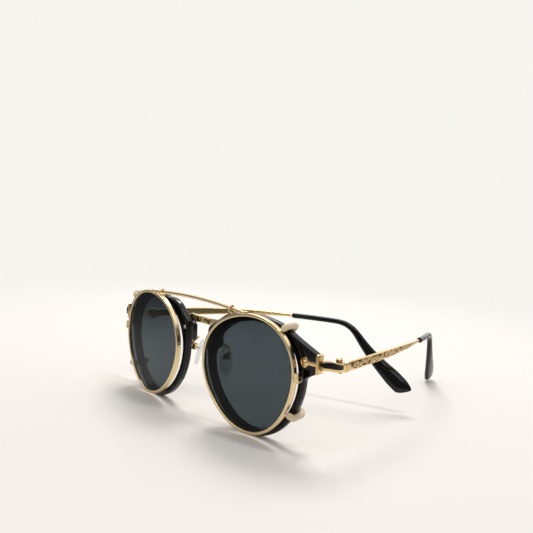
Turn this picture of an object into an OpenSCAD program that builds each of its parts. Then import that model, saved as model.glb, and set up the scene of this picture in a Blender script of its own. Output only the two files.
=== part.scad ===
// Round acetate spectacles with a metal bridge, engraved metal temples and a
// hook-on sun clip. Millimetres, +Z up, +X is the wearer's left, the front faces -Y.
// The glasses stand on a table on both rims and the left temple tip, with the
// right temple partly folded.

/* [Front] */
// Width of a clip lens opening
lens_d = 48; // [42:0.5:54]
// Distance from the middle of the bridge to a lens centre
lens_x = 34.3; // [31:0.1:38]
// Share by which a lens is flattened from side to side
oval = 0.012; // [0:0.002:0.04]
// Share by which a lens is pulled towards a rounded triangle
panto = 0.035; // [0:0.005:0.06]
// Direction in degrees of that pull
panto_turn = 31; // [0:1:60]
// Backward sweep of each lens plane in degrees
wrap = 6.85; // [2:0.05:10]
// Forward lean of the front's top in degrees
lean = 0.9; // [0:0.1:3]
// Thickness of the acetate front
front_t = 3.6; // [3.2:0.1:5]
// How far the acetate reaches out past the clip lens outline
rim_out = 1.7; // [1.4:0.1:3.2]
// How far the acetate reaches in past the clip lens outline
rim_in = 1.1; // [0.6:0.1:1.4]
// Rounding of the acetate edges
rim_round = 1.1; // [0.4:0.1:1.1]
// How far the acetate rims sit below the clip's rims
front_drop = 1.2; // [0:0.1:2]
// Reach of an end piece from its lens centre
end_reach = 32.4; // [32:0.1:33.2]
// Height of an end piece at its outer end
end_h = 7.6; // [7:0.1:8]
// Height of an end piece's middle above its lens centre
end_z = 10.3; // [9.6:0.1:10.8]
// Reach of a nasal flare from its lens centre
flare_reach = 26.9; // [26.4:0.1:27.6]
// How much further the acetate's lens openings reach to the temple side than the clip's
temporal_grow = 1.4; // [0:0.1:1.6]

/* [Lenses] */
// Thickness of a clear lens
clear_t = 1.2; // [0.9:0.1:1.6]
// Thickness of a sun lens
sun_t = 0.9; // [0.7:0.1:1.1]
// Depth to which a lens edge sits in its groove
lens_seat = 0.45; // [0.3:0.05:0.6]

/* [Bridge and nose pads] */
// Height of the metal bridge
bridge_h = 3.6; // [3:0.1:4.4]
// Thickness of the metal bridge
bridge_t = 1.5; // [1.2:0.1:2]
// Height of the bridge above the lens centres
bridge_up = 16.8; // [15:0.1:17]
// Thickness of a nose pad arm's wire
arm_wire_d = 1; // [0.8:0.1:1.2]
// Height of a nose pad
pad_h = 13.5; // [11:0.5:15]
// Width of a nose pad
pad_w = 6; // [5.5:0.5:7.5]
// Thickness of a nose pad
pad_t = 2.4; // [1.8:0.1:2.8]

/* [Hinges] */
// Distance from the middle of the bridge to a hinge axis
hinge_x = 64.8; // [64:0.1:66]
// Distance from the clip's front to a hinge axis
hinge_y = 23.2; // [22:0.1:26]
// Height of a hinge's middle above the lens centres
hinge_up = 7.6; // [6.5:0.1:8.5]
// Outward lean of the hinge axes in degrees
hinge_out = 7.4; // [6:0.2:10]
// Forward lean of the hinge axes in degrees
hinge_forward = 1.9; // [0:0.1:3]
// Diameter of a hinge barrel
barrel_d = 3; // [2.8:0.1:3.2]
// Height of a hinge barrel
barrel_h = 4.4; // [4:0.1:5]
// Diameter of a hinge screw's shank
screw_d = 1.2; // [1:0.1:1.4]
// Running clearance of the hinge screw and between the barrel's parts
hinge_play = 0.08; // [0.06:0.01:0.1]
// Thickness of the arm in front of a hinge
hinge_arm_t = 2; // [1.8:0.1:2.4]
// Height of the arm in front of a hinge
hinge_arm_h = 4.1; // [3.4:0.1:4.4]

/* [Temples] */
// Distance along a temple from its hinge to where it starts to bend down
temple_len = 96.5; // [94:0.5:104]
// Height of the engraved part of a temple
temple_h = 4; // [3.4:0.1:4.4]
// Thickness of the engraved part of a temple
temple_t = 1.6; // [1.4:0.1:2]
// Length of the engraved part of a temple
engraved_len = 60; // [50:1:64]
// Thickness of the wire behind the engraved part
wire_d = 1.1; // [0.9:0.1:1.3]
// Place along a temple where its acetate tip starts
tip_start = 76; // [70:1:80]
// Diameter of the tip's tube
tip_d = 2.7; // [2.4:0.1:3.2]
// Length of a temple behind its bend
tip_drop = 50; // [44:1:52]
// Width of the tip's paddle end
paddle_w = 8.2; // [6.5:0.1:9]
// Thickness of the tip's paddle end
paddle_t = 3.3; // [2.6:0.1:3.6]
// Angle in degrees by which the paddle's upper edge turns away from the head
paddle_turn = 25; // [0:1:30]
// Angle in degrees at which the left temple rests, where 0 is straight back
left_fold = 0; // [0:1:10]
// Angle in degrees at which the right temple rests
right_fold = 49; // [40:1:55]

/* [Sun clip] */
// Width of the clip's rims, seen from the front
wire_w = 1.3; // [1:0.1:1.6]
// Depth of the clip's rims
wire_depth = 2.2; // [1.8:0.1:2.4]
// Distance from the clip's front to the acetate front
clip_gap = 4.4; // [4.2:0.1:5]
// Diameter of the brow bar
bar_d = 1.6; // [1.4:0.1:2]
// Half the length of the brow bar
bar_half = 32.6; // [30:0.1:34]
// Rise of the brow bar in its middle
bar_rise = 1.8; // [0:0.1:3]
// Diameter of the prong wires
prong_d = 1; // [0.8:0.1:1.2]
// Diameter of the sleeves on the prongs
sleeve_d = 2.5; // [2.2:0.1:2.9]
// Direction in degrees of the upper prongs, from the lens centre
upper_prong = 51; // [46:1:54]
// Direction in degrees of the lower prongs, from the lens centre
lower_prong = -31; // [-38:1:-28]
// Angle in degrees by which the right side's prongs sit lower than the left's
right_prong_turn = 6; // [0:1:8]

/* [Hidden] */
$fn = 32;

// Distance from the clip's front back to the origin, which lies under the middle of the whole
origin_back = 77.4;
// Flat contact gap and loose gap between pieces that don't move on each other
seat_gap = 0.05;
soft_gap = 0.2;

GOLD = [0.90, 0.74, 0.50];
PALE_GOLD = [0.85, 0.73, 0.55];
BLACK = [0.03, 0.03, 0.035];
CLEAR = [0.85, 0.90, 0.92, 0.35];
SMOKE = [0.22, 0.24, 0.27, 0.9];
SLEEVE = [0.80, 0.71, 0.55];
SILVER = [0.80, 0.80, 0.80];

// Outline of a lens: distance from its centre in direction a, where 0 is temporal and 90 is up
function lens_r(a) = lens_d / 2 * (1 - oval * cos(2 * a) + panto * sin(3 * a - panto_turn));
// Outline of the acetate's lens openings, in the same directions
function front_r(a) = lens_r(a) + temporal_grow * pow(max(0, cos(a)), 3);
function ray(a) = [cos(a), sin(a)];
function unit(v) = v / norm(v);
function lerp(a, b, t) = a + (b - a) * t;
function clamp01(t) = min(1, max(0, t));
function ease(t) = let(c = clamp01(t)) c * c * (3 - 2 * c);
function total(v, i = 0) = i < len(v) ? v[i] + total(v, i + 1) : 0;
// Rounded maximum and minimum, with corners blended over about 1 / k
function soft_max(v, k) = let(m = max(v)) m + ln(total([for (x = v) exp(k * (x - m))])) / k;
function soft_min(v, k) = -soft_max([for (x = v) -x], k);

// Faces of a skin over n rings of m points, whose points run anticlockwise about the path
function ring_faces(n, m, loop) = [
    for (i = [0:loop ? n - 1 : n - 2], j = [0:m - 1])
        let(a = i * m, b = ((i + 1) % n) * m, k = (j + 1) % m)
        each [[a + j, b + j, b + k], [a + j, b + k, a + k]]
];
module skin(rings, loop = false) {
    n = len(rings);
    m = len(rings[0]);
    ends = loop ? [] : [[for (j = [0:m - 1]) j], [for (j = [m - 1:-1:0]) (n - 1) * m + j]];
    polyhedron([for (r = rings) each r], concat(ring_faces(n, m, loop), ends), convexity = 6);
}

// A closed profile of [distance out, height] points carried round a lens outline
function round_lens(profile, angles) = [
    for (a = angles) [for (p = profile) concat((lens_r(a) + p.x) * ray(a), p.y)]
];

// A section of w by h, from an ellipse at sq = 2 to a rounded rectangle at higher values
function oval_section(w, h, n, sq = 2) = [
    for (k = [0:n - 1])
        let(a = 360 * (k + 0.5) / n, c = cos(a), s = sin(a))
        [w / 2 * sign(c) * pow(abs(c), 2 / sq), h / 2 * sign(s) * pow(abs(s), 2 / sq)]
];
// Rings of the sections along a path, kept upright along the direction up
function path_rings(path, sections, up = [0, 0, 1]) = let(n = len(path)) [
    for (i = [0:n - 1])
        let(t = unit(path[min(i + 1, n - 1)] - path[max(i - 1, 0)]),
            across = unit(cross(up, t)), high = cross(t, across))
        [for (p = sections[i]) path[i] + p.x * across + p.y * high]
];
// A smooth curve through the points p, with n steps between two points
function curve(p, n) = let(last = len(p) - 1) [
    for (i = [0:last - 1], k = [0:n - 1])
        let(t = k / n, a = p[max(i - 1, 0)], b = p[i], c = p[i + 1], d = p[min(i + 2, last)])
        b + (c - a) * t / 2 + (2 * a - 5 * b + 4 * c - d) * t * t / 2
            + (3 * b - 3 * c + d - a) * t * t * t / 2,
    p[last]
];
function part_of(v, from, to) = [for (i = [from:to]) v[i]];
module wire(path, d, up = [0, 0, 1], sides = 8) {
    skin(path_rings(path, [for (p = path) oval_section(d, d, sides)], up));
}
// A tube whose ends are rounded
module capsule(path, d, up = [0, 0, 1], sides = 10) {
    n = len(path) - 1;
    skin(path_rings(path, [
        for (i = [0:n])
            let(e = min(i, n - i), f = e == 0 ? 0.5 : e == 1 ? 0.9 : 1)
            oval_section(d * f, d * f, sides)
    ], up));
}

// Places a piece on the left (s = 1) or mirrored on the right (s = -1)
module on_side(s) {
    translate([0, -origin_back, 0]) mirror([s < 0 ? 1 : 0, 0, 0]) children();
}
// The clip's lens plane: x is temporal, y is up, z is forward, 0 is the clip's front
module on_clip(s) {
    on_side(s) translate([lens_x, 0, clip_z]) rotate([90 + lean, 0, wrap]) children();
}
// The same directions at the acetate front's lens centre, 0 is the acetate's front face
module on_front(s) {
    on_clip(s) translate([0, -front_drop, -clip_gap]) children();
}

// Distance from the lens centre, in direction a, to the straight edge from p to q
function edge_r(p, q, a) = let(n = unit([p.y - q.y, q.x - p.x]), d = n * ray(a))
    d > 0.05 ? n * p / d : 999;
END_TOP = [end_reach, end_z + end_h / 2];
END_LOW = [end_reach, end_z - end_h / 2];
END_RISE = 0.47;
END_FALL = 0.55;
FLARE_TOP = [-flare_reach, 15.4];
FLARE_LOW = [-flare_reach, 7];
FLARE_RISE = 0.715;
FLARE_FALL = 2.6;
// The end piece between its rising top edge, its outer end and its lower edge
function end_piece_r(a) = soft_min([
    edge_r(END_TOP - [1, -END_RISE], END_TOP, a), edge_r(END_TOP, END_LOW, a),
    edge_r(END_LOW, END_LOW - [1, END_FALL], a)
], 4);
function flare_r(a) = soft_min([
    edge_r(FLARE_LOW + [1, -FLARE_FALL], FLARE_LOW, a), edge_r(FLARE_LOW, FLARE_TOP, a),
    edge_r(FLARE_TOP, FLARE_TOP + [1, FLARE_RISE], a)
], 2);
// A rim's outer edge: the lens outline, with the end piece and the nasal flare blended in
function rim_r(a) = let(r = front_r(a) + rim_out)
    a < 75 ? r + (soft_max([r, min(end_piece_r(a), 60)], 1) - r) * ease((72 - a) / 20)
    : a > 104 && a < 215 ? r + (soft_max([r, min(flare_r(a), 60)], 1) - r) * ease((a - 104) / 26)
    : r;
RIM_ANGLES = [for (a = [-32:4:72]) a, for (a = [78:6:102]) a, for (a = [106:4:186]) a,
              for (a = [192:6:322]) a];
function rim_ring(a) = let(
    out = rim_r(a), in = front_r(a) - rim_in, e = rim_round, mid = -front_t / 2,
    groove = in + lens_seat, half = clear_t / 2)
    [for (p = [
        [in, mid - half - 0.2], [groove, mid - half], [groove, mid + half], [in, mid + half + 0.2],
        [in, -0.4], [in + 0.6, 0],
        [out - e, 0], [out - e * 0.3, -e * 0.3], [out, -e],
        [out, e - front_t], [out - e * 0.3, e * 0.3 - front_t], [out - e, -front_t],
        [in + 0.6, -front_t], [in, 0.4 - front_t]
    ]) concat(p.x * ray(a), p.y)];

// Heights of the lens centres above the table, on which the rims stand
LOW_PARTS = [for (a = [-100:1:-80]) for (p = rim_ring(a))
    (p.y - front_drop) * cos(lean) - (p.z - clip_gap) * sin(lean)];
clip_z = -min(LOW_PARTS);
frame_z = clip_z - front_drop;
hinge_z = frame_z + hinge_up;

// Raised seat on the back of a rim's nasal side, which holds the pad arm
LUG_AT = [2.9 - flare_reach, 10];
LUG_W = 4.4;
LUG_H = 9;
LUG_DEEP = 2.6;
RIVET_AT = [2.5 - flare_reach, 12.4];
rivet_d = 1.2;
module lug_outline() {
    hull() for (y = [-1, 1]) translate(LUG_AT + [0, y * (LUG_H - LUG_W) / 2]) circle(d = LUG_W);
}
module rim(s) {
    color(BLACK) on_front(s) difference() {
        union() {
            skin([for (a = RIM_ANGLES) rim_ring(a)], loop = true);
            translate([0, 0, -front_t - LUG_DEEP]) linear_extrude(LUG_DEEP + 0.5) lug_outline();
        }
        translate(concat(RIVET_AT, -1.5)) cylinder(d = rivet_d, h = 2);
    }
}

// Clear lens, sprung into the groove inside a rim
module clear_lens(s) {
    color(CLEAR) on_front(s) translate([0, 0, -(front_t + clear_t) / 2]) linear_extrude(clear_t)
        polygon([for (a = [0:5:355]) (front_r(a) - rim_in + lens_seat - 0.1) * ray(a)]);
}

// Points of the front, given in a rim's own directions, as the on_side modules place them
function clip_pt(p) = let(a = 90 + lean, y = p.y * cos(a) - p.z * sin(a),
                          z = p.y * sin(a) + p.z * cos(a))
    [lens_x + p.x * cos(wrap) - y * sin(wrap), p.x * sin(wrap) + y * cos(wrap), clip_z + z];
function front_pt(p) = clip_pt(p + [0, -front_drop, -clip_gap]);
function flip_x(p) = [-p.x, p.y, p.z];

// Metal bridge: an arched bar bowed forwards, with its ends on the backs of the flares
BRIDGE_END = [4.5 - flare_reach, bridge_up];
BRIDGE_SEAT = 2;
module bridge() {
    deep = -front_t - bridge_t / 2 - 2 * seat_gap;
    side = [for (k = [0:3]) front_pt([BRIDGE_END.x - k * BRIDGE_SEAT, BRIDGE_END.y, deep])];
    middle = [0, side[3].y - 0.9, side[3].z + 0.4];
    path = curve(concat([for (p = side) flip_x(p)], [middle], [for (i = [3:-1:0]) side[i]]), 2);
    n = len(path) - 1;
    color(GOLD) translate([0, -origin_back, 0]) skin(path_rings(path, [
        for (i = [0:n])
            let(e = min(i, n - i), f = e == 0 ? 0.6 : e == 1 ? 0.85 : 1 - 0.16 * ease((e - 4) / 4))
            oval_section(bridge_t, bridge_h * f, 12, 5)
    ]));
}
module bridge_rivets() {
    color(SILVER) for (s = [1, -1]) on_front(s) translate(RIVET_AT) {
        translate([0, 0, -1.4]) cylinder(d = rivet_d - 0.1, h = 1.4);
        intersection() {
            translate([0, 0, -0.6]) sphere(r = 1.05);
            cylinder(r = 1, h = 1);
        }
    }
}

// Nose pads: a box with a pin at the end of each arm, and the pad that rocks on the pin
pad_turn = 41;
pad_splay = 13;
pin_d = 0.8;
box_w = 3;
box_t = 0.5;
PAD_PIN = [11.2, 9.9, frame_z + 1.9];
PAD_OFF = 2.35;
module on_pad(s) {
    on_side(s) translate(PAD_PIN) rotate([0, 0, -pad_turn]) rotate([0, -pad_splay, 0]) children();
}
module pad_box(s) {
    color(GOLD) on_pad(s) {
        difference() {
            translate([-0.8, -box_w / 2, -1.3]) cube([2.4, box_w, 2.6]);
            translate([-1, -box_w / 2 + box_t, -1.5]) cube([2.1, box_w - 2 * box_t, 3]);
        }
        rotate([90, 0, 0]) cylinder(d = pin_d, h = box_w + 0.3, center = true);
    }
}
module pad(s) {
    rows = 8;
    stem_w = box_w - 2 * box_t - 0.2;
    color(CLEAR) on_pad(s) difference() {
        union() {
            translate([-PAD_OFF, 0, -2]) skin([
                for (i = [0:rows])
                    let(t = -cos(180 * i / rows), f = sqrt(max(0.06, 1 - t * t)),
                        wide = pad_w * f * (1 - 0.12 * t))
                    [for (p = oval_section(pad_t * pow(f, 0.7), wide, 12)) concat(p, t * pad_h / 2)]
            ]);
            rotate([90, 0, 0]) cylinder(r = 0.9, h = stem_w, center = true);
            translate([-PAD_OFF, -stem_w / 2, -0.6]) cube([PAD_OFF, stem_w, 1.2]);
        }
        rotate([90, 0, 0]) cylinder(d = pin_d + 0.14, h = 4, center = true);
    }
}
module pad_arm(s) {
    out = front_pt([LUG_AT.x, LUG_AT.y - 2.5, -front_t - LUG_DEEP - 3 * seat_gap]);
    in = PAD_PIN + 2.45 * [cos(pad_turn), -sin(pad_turn), 0];
    path = curve([out, out + [0.3, 2.2, -0.9], [in.x - 1.2, out.y + 3.3, in.z + 3.6],
                  in + [0.3, 1.1, 1.5], in], 4);
    color(GOLD) on_side(s) wire(path, arm_wire_d, [1, 0, 0]);
}

// Metal cap over the outer end of an end piece, with a lip, a stem and a fan on the front
cap_wall = 0.55;
cap_h = 8.2;
lip_w = 1.5;
CAP_REACH = end_reach + 0.8;
FAN_AT = [end_reach - 5.6, end_z];
FAN = [[0.4, 2.5], [-1.3, 1.5], [-2.2, 0.3], [-2, -0.6], [-1.4, -1.5], [0.1, -2.5], [1.4, -1],
       [1.8, -0.6], [1.8, 0.6], [1.4, 1]];
stem_h = 1.7;
module end_cap(s) {
    color(GOLD) on_front(s) difference() {
        union() {
            translate([CAP_REACH - lip_w / 2, end_z, -front_t]) linear_extrude(front_t + cap_wall) {
                square([lip_w, cap_h - lip_w], center = true);
                for (y = [-1, 1]) translate([0, y * (cap_h - lip_w) / 2]) circle(d = lip_w);
            }
            linear_extrude(cap_wall) {
                translate([FAN_AT.x, FAN_AT.y - stem_h / 2])
                    square([CAP_REACH - lip_w / 2 - FAN_AT.x, stem_h]);
                translate(FAN_AT) polygon(FAN);
            }
        }
        translate([end_reach - lip_w, end_z - cap_h, -2 * front_t])
            cube([lip_w + seat_gap, 2 * cap_h, 2 * front_t]);
        translate(concat(FAN_AT, -1)) cylinder(d = rivet_d, h = 3);
    }
}
module end_cap_rivets() {
    color(GOLD) for (s = [1, -1]) on_front(s) translate(FAN_AT) {
        cylinder(d = rivet_d - 0.1, h = cap_wall);
        translate([0, 0, cap_wall]) intersection() {
            translate([0, 0, -0.5]) sphere(r = 1.25);
            cylinder(r = 1.15, h = 1);
        }
    }
}

// Hinges: an arm from the cap with two barrel ends, and the temple's barrel end between them
HINGE = [hinge_x, hinge_y, hinge_z];
HINGE_AXIS = [sin(hinge_out) * cos(hinge_forward), -sin(hinge_forward),
              cos(hinge_out) * cos(hinge_forward)];
module at_hinge(s) { on_side(s) translate(HINGE) children(); }
module along_axis() { rotate([hinge_forward, hinge_out, 0]) children(); }
bore_d = screw_d + 2 * hinge_play;
eye_h = barrel_h / 3;
arm_x = 2.7;
butt_gap = 0.6;
module barrel_end(low, high, web) {
    difference() {
        union() {
            translate([0, 0, low]) cylinder(d = barrel_d, h = high - low);
            translate([0, min(web), low]) cube([arm_x, max(web) - min(web), high - low]);
        }
        translate([0, 0, low - 1]) cylinder(d = bore_d, h = high - low + 2);
    }
}
ARM_STEPS = 8;
arm_start = front_pt([CAP_REACH + seat_gap + hinge_arm_t / 2, end_z, -0.1]);
arm_end = HINGE + [arm_x, 0, 0];
ARM_PATH = [
    for (i = [0:ARM_STEPS])
        let(t = i / ARM_STEPS)
        lerp(arm_start, arm_end, t) + [0.9 * sin(180 * t), 0, 0.25 * sin(360 * t)]
];
function arm_high(t) = hinge_arm_h * (1 - 0.1 * t);
module arm_bar(w) {
    skin(path_rings(ARM_PATH, [for (i = [0:ARM_STEPS]) oval_section(w, arm_high(i / ARM_STEPS), 12, 5)]));
}
// The inlay's groove, boat-shaped, on the outer face of the arm
module inlay_bar(play) {
    path = [for (i = [0:ARM_STEPS - 1]) ARM_PATH[i] + [hinge_arm_t / 2, 0, inlay_up]];
    skin(path_rings(path, [
        for (i = [0:ARM_STEPS - 1])
            let(f = 0.4 + 0.22 * sin(180 * (i + 1) / ARM_STEPS))
            oval_section(2 * (inlay_deep - play), arm_high(i / ARM_STEPS) * f - 2 * play, 8, 4)
    ]));
}
inlay_up = 0.25;
inlay_deep = 0.45;
module hinge_arm(s) {
    color(GOLD) {
        on_side(s) difference() {
            arm_bar(hinge_arm_t);
            inlay_bar(0);
        }
        at_hinge(s) along_axis() for (z = [-1, 1])
            barrel_end(min(z * eye_h / 2, z * barrel_h / 2), max(z * eye_h / 2, z * barrel_h / 2),
                [-1.5, -0.1]);
    }
}
module arm_inlay(s) {
    color(BLACK) on_side(s) intersection() {
        inlay_bar(seat_gap);
        arm_bar(hinge_arm_t);
    }
}
module hinge_screw(s) {
    head_r = 1.5;
    color(GOLD) at_hinge(s) along_axis() {
        translate([0, 0, -barrel_h / 2 - 0.45]) cylinder(d = screw_d, h = barrel_h + 1);
        translate([0, 0, -barrel_h / 2 - 0.5]) cylinder(r = 0.95, h = 0.45);
        translate([0, 0, barrel_h / 2 + 0.05]) difference() {
            intersection() {
                sphere(r = head_r);
                cylinder(r = head_r, h = 3);
            }
            translate([-2, -0.2, 1.1]) cube([4, 0.4, 1]);
        }
    }
}

// Temples: an engraved bar that runs out into a wire, and an acetate tip over the wire
bow = 2.14;
temple_rise = 0.055;
temple_sag = 0.62;
BEND = 53;
BEND_OVER = 16;
FLICK = 12;
FLICK_FROM = 14;
FLICK_OVER = 24;
LEVEL = [0, 5, 10, 16, 22, 28, 34, 40, 46, 52, 58, 64, 70, tip_start, 84, 92];
bend_step = 2;
function level_h(s) = temple_rise * s - temple_sag * s * s / 1000;
start_slope = atan(temple_rise - 2 * temple_sag * temple_len / 1000);
function fall(l) = start_slope - BEND * ease(l / BEND_OVER)
    + FLICK * ease((l - FLICK_FROM) / FLICK_OVER);
BEND_PTS = [
    for (l = 0, p = [temple_len, level_h(temple_len)];
         l <= tip_drop; p = p + bend_step * ray(fall(l + bend_step / 2)), l = l + bend_step) p
];
TEMPLE_PATH = [
    for (q = concat([for (s = LEVEL) [s, level_h(s)]], BEND_PTS))
        [arm_x - bow * q.x * q.x / 1000, q.x + butt_gap, q.y]
];
FIRST_TIP = len(LEVEL) - 3;
CORE_END = len(LEVEL) + 14;
function bar_size(i) = let(s = i < len(LEVEL) ? LEVEL[i] : temple_len,
        t = ease((s - engraved_len + 20) / 26))
    [lerp(temple_t, wire_d, t), lerp(temple_h * (0.92 + 0.08 * ease(s / 20)), wire_d, t)];
module temple(s) {
    color(GOLD) at_hinge(s) rotate(a = s > 0 ? left_fold : right_fold, v = HINGE_AXIS) {
        skin(path_rings(part_of(TEMPLE_PATH, 0, CORE_END),
            [for (i = [0:CORE_END]) let(b = bar_size(i)) oval_section(b.x, b.y, 8, i < 9 ? 4 : 2)]));
        along_axis() barrel_end(hinge_play - eye_h / 2, eye_h / 2 - hinge_play, [0.1, 1.5]);
    }
}
// A tip widens behind the bend, and its end is cut level with the table
WIDEN_FROM = 4;
WIDEN_OVER = 36;
function tip_run(i) = max(0, (i - len(LEVEL)) * bend_step);
function tip_section(i, f) = let(
        l = tip_run(i), t = clamp01((l - WIDEN_FROM) / WIDEN_OVER), high = lerp(tip_d, paddle_w, t) / 2,
        low = soft_min([high, (hinge_z + TEMPLE_PATH[i].z - 0.1) / cos(fall(l))], 4),
        turn = paddle_turn * ease(l / WIDEN_OVER))
    [for (p = oval_section(lerp(tip_d, paddle_t, t) * f, (high + low) * f, 10, 2.2))
        let(y = p.y + (high - low) / 2)
        [p.x * cos(turn) - y * sin(turn), p.x * sin(turn) + y * cos(turn)]];
module temple_tip(s) {
    last = len(TEMPLE_PATH) - 1;
    color(BLACK) at_hinge(s) rotate(a = s > 0 ? left_fold : right_fold, v = HINGE_AXIS) difference() {
        skin(path_rings(part_of(TEMPLE_PATH, FIRST_TIP, last), [
            for (i = [FIRST_TIP:last])
                let(e = last - i) tip_section(i, e == 0 ? 0.5 : e == 1 ? 0.87 : 1)
        ]));
        wire(part_of(TEMPLE_PATH, FIRST_TIP - 1, CORE_END + 1), wire_d + 2 * seat_gap);
    }
}

// Sun clip: sprung wire rims with a groove for the lens, split at the closing block
block_turn = 7;
split_w = 0.3;
EYEWIRE_STEPS = 56;
module eyewire(s) {
    mid = -wire_depth / 2;
    half = sun_t / 2 + seat_gap;
    profile = [
        [0, mid - half], [lens_seat, mid - half], [lens_seat, mid + half], [0, mid + half],
        [0, -0.2], [0.25, 0], [wire_w - 0.25, 0], [wire_w, -0.25], [wire_w - 0.15, mid],
        [wire_w - 0.1, 0.1 - wire_depth], [0, -wire_depth]
    ];
    turn = 360 / EYEWIRE_STEPS;
    color(PALE_GOLD) on_clip(s) difference() {
        skin(round_lens(profile, [for (i = [0:EYEWIRE_STEPS - 1]) turn * i]), loop = true);
        rotate([0, 0, block_turn]) translate([lens_r(block_turn), 0, -wire_depth / 2])
            cube([4 * wire_w, split_w, 2 * wire_depth], center = true);
    }
}
module sun_lens(s) {
    color(SMOKE) on_clip(s) translate([0, 0, -(wire_depth + sun_t) / 2]) linear_extrude(sun_t)
        polygon([for (a = [0:5:355]) (lens_r(a) + lens_seat - 0.1) * ray(a)]);
}
block_d = 1.9;
block_h = 3.5;
block_deep = 2.9;
closing_d = 0.9;
module on_block(s) {
    on_clip(s) rotate([0, 0, block_turn])
        translate([lens_r(block_turn) + wire_w + seat_gap, 0, 0]) children();
}
module closing_block(s) {
    color(PALE_GOLD) on_block(s) difference() {
        for (y = [-1, 1])
            translate([0, y * (block_h / 4 + 0.05) - block_h / 4, -block_deep])
                cube([block_d, block_h / 2, block_deep - 0.1]);
        translate([block_d / 2, 0, -block_deep / 2]) rotate([90, 0, 0])
            cylinder(d = closing_d + 0.1, h = 2 * block_h, center = true);
    }
}
module closing_screws() {
    color(PALE_GOLD) for (s = [1, -1]) on_block(s) translate([block_d / 2, 0, -block_deep / 2])
        rotate([90, 0, 0]) {
            cylinder(d = closing_d, h = block_h, center = true);
            translate([0, 0, block_h / 2 + 0.08]) cylinder(r = 0.75, h = 0.4);
        }
}

// Brow bar over both rims, its end tabs, and the wire loops that straddle it
ring_top = lens_r(93) + wire_w;
bar_z = clip_z + ring_top + 0.1;
bar_y = clip_pt([0, ring_top, 0]).y - bar_d / 2 - seat_gap;
TAB = [2.2, 1.7, 0.8];
function bar_pt(x) = [x, bar_y, bar_z + bar_rise * (1 - x * x / (bar_half * bar_half))];
module brow_bar() {
    color(PALE_GOLD) translate([0, -origin_back, 0]) {
        capsule([for (i = [-8:8]) bar_pt(bar_half * i / 8)], bar_d);
        for (x = [-1, 1]) translate([x * bar_half - TAB.x / 2, bar_y, bar_z + seat_gap]) cube(TAB);
    }
}
loop_x = 24.7;
loop_d = 0.8;
module bar_loop(s) {
    over = bar_pt(loop_x);
    reach = (bar_d + loop_d) / 2 + 0.2;
    foot = clip_pt([loop_x - lens_x, sqrt(pow(ring_top, 2) - pow(lens_x - loop_x, 2)), -wire_depth / 2]);
    low = foot.z + 0.55;
    color(PALE_GOLD) on_side(s) wire(curve([
        [loop_x, foot.y - 0.6, low], [loop_x, over.y - reach, low + 1.2],
        over + [0, -reach, 0], over + [0, 0, reach], over + [0, reach, 0],
        [loop_x, over.y + reach, low + 1.2], [loop_x, foot.y + 0.6, low]
    ], 2), loop_d, [1, 0, 0]);
}

// Prongs: wires from the clip's rims that reach back over the acetate and hook behind it
sleeve_off = 0.9;
function turned(s, a) = s > 0 ? a : a - right_prong_turn;
function prong_path(a) = let(
        out = rim_r(a) - front_drop * sin(a) + sleeve_d / 2 + soft_gap,
        back = -clip_gap - front_t, deep = back - sleeve_d / 2 - soft_gap)
    curve([for (p = [
        [lens_r(a) + wire_w + seat_gap, -wire_depth / 2],
        [lens_r(a) + wire_w + sleeve_off, -wire_depth / 2],
        [out, -wire_depth / 2 - 1.3], [out, back / 2], [out, back + 0.4],
        [out - 0.9, deep - 0.2], [out - 2.6, deep - 0.3], [out - 4.2, deep]
    ]) concat(p.x * ray(a), p.y)], 2);
SLEEVE_FROM = 2;
function across_prong(a) = [-sin(a), cos(a), 0];
module prong(s, direction) {
    a = turned(s, direction);
    p = prong_path(a);
    color(PALE_GOLD) on_clip(s) wire(part_of(p, 0, len(p) - 3), prong_d, across_prong(a));
}
module sleeve(s, direction) {
    a = turned(s, direction);
    p = prong_path(a);
    color(SLEEVE) on_clip(s) difference() {
        capsule(part_of(p, SLEEVE_FROM, len(p) - 1), sleeve_d, across_prong(a), 8);
        wire(part_of(p, 0, len(p) - 2), prong_d + 2 * seat_gap, across_prong(a));
    }
}

module left_rim() { rim(1); }
module right_rim() { rim(-1); }
module left_clear_lens() { clear_lens(1); }
module right_clear_lens() { clear_lens(-1); }
module left_pad_arm() { pad_arm(1); }
module right_pad_arm() { pad_arm(-1); }
module left_pad() { pad(1); }
module right_pad() { pad(-1); }
module left_pad_box() { pad_box(1); }
module right_pad_box() { pad_box(-1); }
module left_end_cap() { end_cap(1); }
module right_end_cap() { end_cap(-1); }
module left_hinge_arm() { hinge_arm(1); }
module right_hinge_arm() { hinge_arm(-1); }
module left_arm_inlay() { arm_inlay(1); }
module right_arm_inlay() { arm_inlay(-1); }
module left_hinge_screw() { hinge_screw(1); }
module right_hinge_screw() { hinge_screw(-1); }
module left_temple() { temple(1); }
module right_temple() { temple(-1); }
module left_temple_tip() { temple_tip(1); }
module right_temple_tip() { temple_tip(-1); }
module left_eyewire() { eyewire(1); }
module right_eyewire() { eyewire(-1); }
module left_sun_lens() { sun_lens(1); }
module right_sun_lens() { sun_lens(-1); }
module left_bar_loop() { bar_loop(1); }
module right_bar_loop() { bar_loop(-1); }
module left_closing_block() { closing_block(1); }
module right_closing_block() { closing_block(-1); }
module left_upper_prong() { prong(1, upper_prong); }
module left_lower_prong() { prong(1, lower_prong); }
module right_upper_prong() { prong(-1, upper_prong); }
module right_lower_prong() { prong(-1, lower_prong); }
module left_upper_sleeve() { sleeve(1, upper_prong); }
module left_lower_sleeve() { sleeve(1, lower_prong); }
module right_upper_sleeve() { sleeve(-1, upper_prong); }
module right_lower_sleeve() { sleeve(-1, lower_prong); }

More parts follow.
